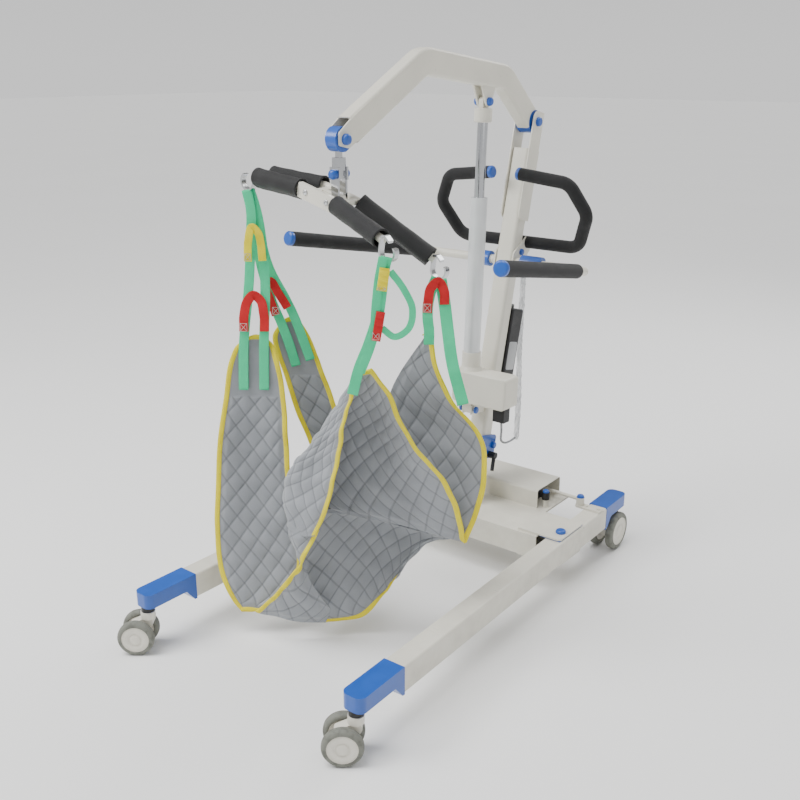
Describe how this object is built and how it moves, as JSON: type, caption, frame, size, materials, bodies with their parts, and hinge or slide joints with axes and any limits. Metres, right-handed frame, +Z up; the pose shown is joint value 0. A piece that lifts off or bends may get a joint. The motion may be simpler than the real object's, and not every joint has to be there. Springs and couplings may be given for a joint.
{
  "type": "patient lift hoist",
  "caption": "Mobile patient lift: spreading caster base, leaning mast, bent boom raised by a linear actuator, sling spreader with quilted sling.",
  "frame": {"origin": "on the floor in the middle between the legs, 2 mm from the middle of the length", "axes": "+Z up; the legs and the boom reach towards -Y and the mast stands at +Y; +X is the side of the lift motor and the clamp lever"},
  "size_m": [0.8628, 1.4643, 1.5598],
  "materials": {
    "cream_paint": "satin powder coat",
    "blue_plastic": "moulded, slightly glossy",
    "black_foam": "fine closed-cell foam",
    "black_sleeve": "woven nylon over foam",
    "zinc_steel": "zinc plated",
    "chrome": "polished",
    "satin_tube": "satin silver white",
    "aluminium": "bright",
    "black_plastic": "fine texture",
    "caster_tyre": "non-marking grey rubber",
    "caster_hood": "moulded",
    "caster_neck": "moulded",
    "sling_cloth": "quilted polyester",
    "grey_lead": "matt sheath",
    "film_sleeve": "crinkled film"
  },
  "bodies": {
    "base": {"base_frame": "cream_paint", "leg_liners": "blue_plastic", "frame_bolts": "zinc_steel", "base_bolt_caps": "blue_plastic", "mechanism_cover": "cream_paint", "mast_knuckle": "blue_plastic", "mast_tube": "cream_paint", "mast_head": "cream_paint", "control_box": "black_plastic", "actuator_bracket": "cream_paint", "handlebar_tube": "cream_paint", "handlebar_grips": "black_foam", "handle_end_caps": "blue_plastic", "handlebar_sleeves": "blue_plastic", "handlebar_plates": "cream_paint", "push_handle_foam": "black_foam", "push_handle_tube": "zinc_steel", "spread_actuator_body": "black_plastic", "lift_lead": "grey_lead", "lead_bundle": "film_sleeve"},
    "spread_crank": {"spread_crank": "zinc_steel"},
    "tie_rod_left": {"tie_rod_left": "cream_paint"},
    "tie_rod_right": {"tie_rod_right": "cream_paint"},
    "spread_rod": {"spread_actuator_rod": "zinc_steel"},
    "clamp_lever": {"clamp_lever": "black_plastic"},
    "lift_actuator": {"motor_housing": "cream_paint", "actuator_tube": "satin_tube"},
    "lift_rod": {"actuator_rod": "chrome", "rod_end_cap": "cream_paint"},
    "boom": {"boom_tube": "cream_paint", "boom_bush": "blue_plastic", "boom_bolts": "zinc_steel", "boom_caps": "blue_plastic"},
    "hanger": {"hanger_roller": "blue_plastic", "hanger_stem": "chrome"},
    "yoke": {"hanger_yoke": "chrome", "yoke_pin": "blue_plastic"},
    "spreader": {"spreader_frame": "cream_paint", "spreader_pads": "black_sleeve", "spreader_hooks": "aluminium", "sling": "sling_cloth"},
    "leg_left": {"leg_left": "cream_paint", "front_bracket_left": "blue_plastic", "rear_bracket_left": "blue_plastic", "leg_arm_left": "cream_paint", "caster_stems_left": "caster_neck"},
    "caster_front_left": {"caster_hood_front_left": "caster_hood"},
    "wheels_front_left": {"caster_wheels_front_left": "caster_tyre"},
    "caster_rear_left": {"caster_hood_rear_left": "caster_hood"},
    "wheels_rear_left": {"caster_wheels_rear_left": "caster_tyre"},
    "leg_right": {"leg_right": "cream_paint", "front_bracket_right": "blue_plastic", "rear_bracket_right": "blue_plastic", "leg_arm_right": "cream_paint", "caster_stems_right": "caster_neck"},
    "caster_front_right": {"caster_hood_front_right": "caster_hood"},
    "wheels_front_right": {"caster_wheels_front_right": "caster_tyre"},
    "caster_rear_right": {"caster_hood_rear_right": "caster_hood"},
    "wheels_rear_right": {"caster_wheels_rear_right": "caster_tyre"}
  },
  "joints": [
    {"name": "spread_crank_turn", "type": "hinge", "parent": "base", "child": "spread_crank", "pos_m": [0, 0.511, 0.188], "axis": [0, 0, 1], "range_deg": [0, 40]},
    {"name": "spread_rod_slide", "type": "slide", "parent": "base", "child": "spread_rod", "axis": [0.9994, 0.0358, 0], "range_m": [0, 0.0315]},
    {"name": "tie_rod_left_turn", "type": "hinge", "parent": "spread_crank", "child": "tie_rod_left", "pos_m": [-0.01539, 0.46871, 0.199], "axis": [0, 0, 1], "range_deg": [-38.5, 0]},
    {"name": "tie_rod_right_turn", "type": "hinge", "parent": "spread_crank", "child": "tie_rod_right", "pos_m": [0.01539, 0.55329, 0.199], "axis": [0, 0, 1], "range_deg": [-42, 0]},
    {"name": "clamp_lever_turn", "type": "hinge", "parent": "base", "child": "clamp_lever", "pos_m": [0, 0.41797, 0.32966], "axis": [1, 0, 0], "range_deg": [-90, 60]},
    {"name": "lift_actuator_tilt", "type": "hinge", "parent": "base", "child": "lift_actuator", "pos_m": [0, 0.347, 0.498], "axis": [-1, 0, 0], "range_deg": [-0.2, 0.8]},
    {"name": "lift_rod_slide", "type": "slide", "parent": "lift_actuator", "child": "lift_rod", "axis": [0, 0.0424, 0.9991], "range_m": [-0.163, 0.0275]},
    {"name": "boom_lift", "type": "hinge", "parent": "base", "child": "boom", "pos_m": [0, 0.641, 1.351], "axis": [-1, 0, 0], "range_deg": [-36, 6], "deforming": ["sling"]},
    {"name": "hanger_swing", "type": "hinge", "parent": "boom", "child": "hanger", "pos_m": [0, -0.248, 1.349], "axis": [-1, 0, 0], "range_deg": [-6, 36]},
    {"name": "yoke_swivel", "type": "hinge", "parent": "hanger", "child": "yoke", "pos_m": [0, -0.248, 1.3], "axis": [0, 0, 1], "continuous": true},
    {"name": "spreader_tilt", "type": "hinge", "parent": "yoke", "child": "spreader", "pos_m": [0, -0.248, 1.206], "axis": [0, 1, 0], "range_deg": [-8, 2]},
    {"name": "leg_left_spread", "type": "hinge", "parent": "base", "child": "leg_left", "pos_m": [-0.3525, 0.33, 0.137], "axis": [0, 0, 1], "range_deg": [-8.1, 0]},
    {"name": "caster_front_left_swivel", "type": "hinge", "parent": "leg_left", "child": "caster_front_left", "pos_m": [-0.36839, -0.64887, 0.11], "axis": [0, 0, 1], "continuous": true},
    {"name": "wheels_front_left_spin", "type": "hinge", "parent": "caster_front_left", "child": "wheels_front_left", "pos_m": [-0.39216, -0.66717, 0.05], "axis": [0.6101, -0.7923, 0], "continuous": true},
    {"name": "caster_rear_left_swivel", "type": "hinge", "parent": "leg_left", "child": "caster_rear_left", "pos_m": [-0.34638, 0.70695, 0.11], "axis": [0, 0, 1], "continuous": true},
    {"name": "wheels_rear_left_spin", "type": "hinge", "parent": "caster_rear_left", "child": "wheels_rear_left", "pos_m": [-0.34638, 0.67295, 0.0625], "axis": [1, 0, 0], "continuous": true},
    {"name": "leg_right_spread", "type": "hinge", "parent": "base", "child": "leg_right", "pos_m": [0.3525, 0.33, 0.137], "axis": [0, 0, 1], "range_deg": [0, 8.1]},
    {"name": "caster_front_right_swivel", "type": "hinge", "parent": "leg_right", "child": "caster_front_right", "pos_m": [0.36839, -0.64887, 0.11], "axis": [0, 0, 1], "continuous": true},
    {"name": "wheels_front_right_spin", "type": "hinge", "parent": "caster_front_right", "child": "wheels_front_right", "pos_m": [0.34462, -0.66717, 0.05], "axis": [0.6101, -0.7923, 0], "continuous": true},
    {"name": "caster_rear_right_swivel", "type": "hinge", "parent": "leg_right", "child": "caster_rear_right", "pos_m": [0.34638, 0.70695, 0.11], "axis": [0, 0, 1], "continuous": true},
    {"name": "wheels_rear_right_spin", "type": "hinge", "parent": "caster_rear_right", "child": "wheels_rear_right", "pos_m": [0.34638, 0.67295, 0.0625], "axis": [1, 0, 0], "continuous": true}
  ],
  "couplings": [
    {"joint": "spread_rod_slide", "follows": "spread_crank_turn", "m_per_rad": 0.04412},
    {"joint": "tie_rod_left_turn", "follows": "spread_crank_turn", "ratio": -0.956},
    {"joint": "tie_rod_right_turn", "follows": "spread_crank_turn", "ratio": -1.0457},
    {"joint": "lift_actuator_tilt", "follows": "boom_lift", "ratio": -0.02},
    {"joint": "lift_rod_slide", "follows": "boom_lift", "m_per_rad": 0.2573},
    {"joint": "hanger_swing", "follows": "boom_lift", "ratio": -1},
    {"joint": "leg_left_spread", "follows": "spread_crank_turn", "ratio": -0.2012},
    {"joint": "leg_right_spread", "follows": "spread_crank_turn", "ratio": 0.2012}
  ]
}
